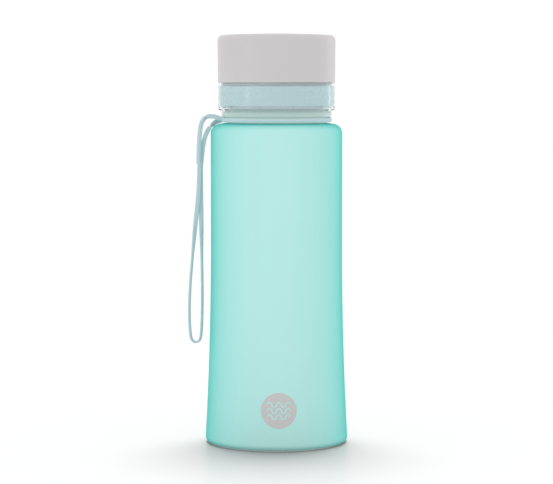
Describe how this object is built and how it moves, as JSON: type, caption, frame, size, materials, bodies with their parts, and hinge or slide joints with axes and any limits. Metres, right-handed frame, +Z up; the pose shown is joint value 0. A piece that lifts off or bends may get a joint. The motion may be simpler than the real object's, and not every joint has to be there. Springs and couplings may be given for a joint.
{
  "type": "water bottle",
  "caption": "Glass drinking bottle with a tinted soft-touch coat, a two-start screw lid, a sealing ring and a ribbon wrist strap round its neck.",
  "frame": {"origin": "centre of the ring that the bottle stands on, at floor level", "axes": "+Z up along the bottle's axis, the printed mark faces -Y, the strap hangs on the -X side"},
  "size_m": [0.0881, 0.0782, 0.2246],
  "materials": {
    "clear_glass": "clear soda-lime glass, fire polished",
    "mint_coat": "translucent satin soft-touch coat",
    "grey_ink": "printed, satin",
    "grey_plastic": "fine satin",
    "clear_plastic": "clear, polished",
    "blue_plastic": "glossy",
    "white_plastic": "moulded, lightly polished",
    "silicone": "translucent white silicone",
    "blue_ribbon": "flat woven ribbon"
  },
  "bodies": {
    "bottle": {"glass_body": "clear_glass", "soft_touch_coat": "mint_coat", "printed_mark": "grey_ink"},
    "lid_seal": {"lid_gasket": "silicone"},
    "lid": {"lid_shell": "grey_plastic", "lid_skirt": "clear_plastic", "lid_band": "blue_plastic", "lid_liner": "white_plastic"},
    "strap_neck": {"strap_collar": "blue_ribbon"},
    "strap_hanging": {"strap_seam": "blue_ribbon", "strap_loop": "blue_ribbon"}
  },
  "joints": [
    {"name": "lid_rise", "type": "slide", "parent": "bottle", "child": "lid_seal", "axis": [0, 0, 1], "range_m": [0, 0.0241]},
    {"name": "lid_turn", "type": "hinge", "parent": "lid_seal", "child": "lid", "pos_m": [0, 0, 0.2], "axis": [0, 0, 1], "range_deg": [0, 864]},
    {"name": "strap_turn", "type": "hinge", "parent": "bottle", "child": "strap_neck", "pos_m": [0, 0, 0.1776], "axis": [0, 0, 1], "continuous": true},
    {"name": "strap_swing", "type": "hinge", "parent": "strap_neck", "child": "strap_hanging", "pos_m": [-0.044, 0, 0.16815], "axis": [0, 1, 0], "range_deg": [0, 160]}
  ],
  "couplings": [
    {"joint": "lid_rise", "follows": "lid_turn", "m_per_rad": 0.0015915}
  ]
}
